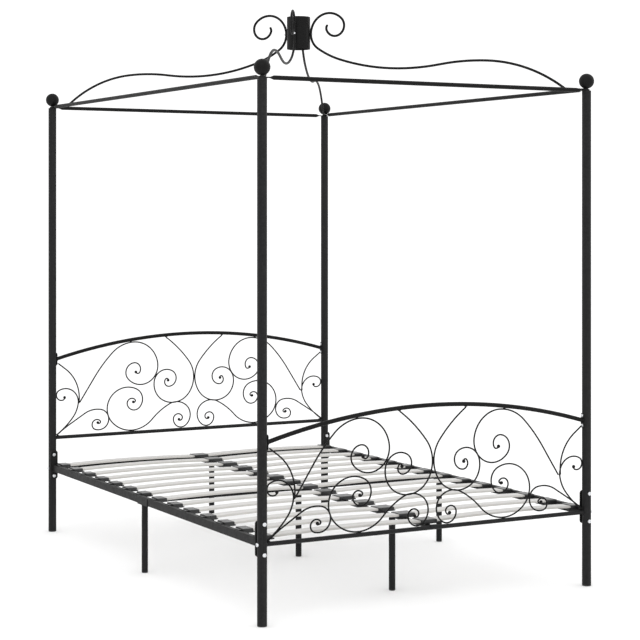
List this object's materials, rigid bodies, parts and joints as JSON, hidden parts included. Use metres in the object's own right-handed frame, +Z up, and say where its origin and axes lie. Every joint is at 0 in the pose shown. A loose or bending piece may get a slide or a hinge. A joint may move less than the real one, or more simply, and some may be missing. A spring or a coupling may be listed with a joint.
{
  "type": "four poster canopy bed",
  "caption": "Steel tube bed with tall corner posts, scrollwork head and foot panels, slatted base, canopy rails and curved rods gathered at a crown.",
  "frame": {"origin": "on the floor, at the middle of the bed's footprint", "axes": "+Z up; +Y from the footboard to the headboard; +X across, to the right seen from the foot"},
  "size_m": [1.4584, 2.1184, 2.2611],
  "materials": {
    "frame_black": "satin",
    "zinc": "zinc plated",
    "black_plastic": "fine moulded",
    "slat_wood": "pale film-faced plywood"
  },
  "bodies": {
    "root": {"arch_bolts": "zinc", "arch_bushes": "zinc", "arch_plates": "frame_black", "canopy_rail_front": "frame_black", "canopy_rail_left": "frame_black", "canopy_rail_rear": "frame_black", "canopy_rail_right": "frame_black", "canopy_rod_front_left": "frame_black", "canopy_rod_front_right": "frame_black", "canopy_rod_rear_left": "frame_black", "canopy_rod_rear_right": "frame_black", "centre_legs": "frame_black", "centre_rail": "frame_black", "centre_rail_hooks": "frame_black", "cross_tube_bolts": "zinc", "cross_tube_inserts": "zinc", "crown_bolts": "zinc", "crown_nuts": "zinc", "crown_sleeve": "frame_black", "finial_front_left": "frame_black", "finial_front_right": "frame_black", "finial_rear_left": "frame_black", "finial_rear_right": "frame_black", "foot_arch": "frame_black", "foot_bottom_rail": "frame_black", "foot_corner_braces": "frame_black", "foot_corner_curls": "frame_black", "foot_low_scrolls": "frame_black", "foot_middle_scrolls": "frame_black", "foot_side_scrolls": "frame_black", "foot_tall_scrolls": "frame_black", "head_arch": "frame_black", "head_bottom_rail": "frame_black", "head_corner_braces": "frame_black", "head_corner_curls": "frame_black", "head_cross_tube": "frame_black", "head_low_scrolls": "frame_black", "head_middle_scrolls": "frame_black", "head_side_scrolls": "frame_black", "head_tall_scrolls": "frame_black", "leg_feet": "black_plastic", "middle_cross_tubes": "frame_black", "post_feet": "black_plastic", "post_front_left": "frame_black", "post_front_right": "frame_black", "post_rear_left": "frame_black", "post_rear_right": "frame_black", "post_top_plugs": "zinc", "side_legs": "frame_black", "side_rail_bolts": "zinc", "side_rail_left": "frame_black", "side_rail_nuts": "zinc", "side_rail_plates": "frame_black", "side_rail_right": "frame_black", "side_rail_saddles": "frame_black", "slat_holders_centre": "black_plastic", "slat_holders_left": "black_plastic", "slat_holders_right": "black_plastic", "slats_left": "slat_wood", "slats_right": "slat_wood"}
  },
  "joints": []
}
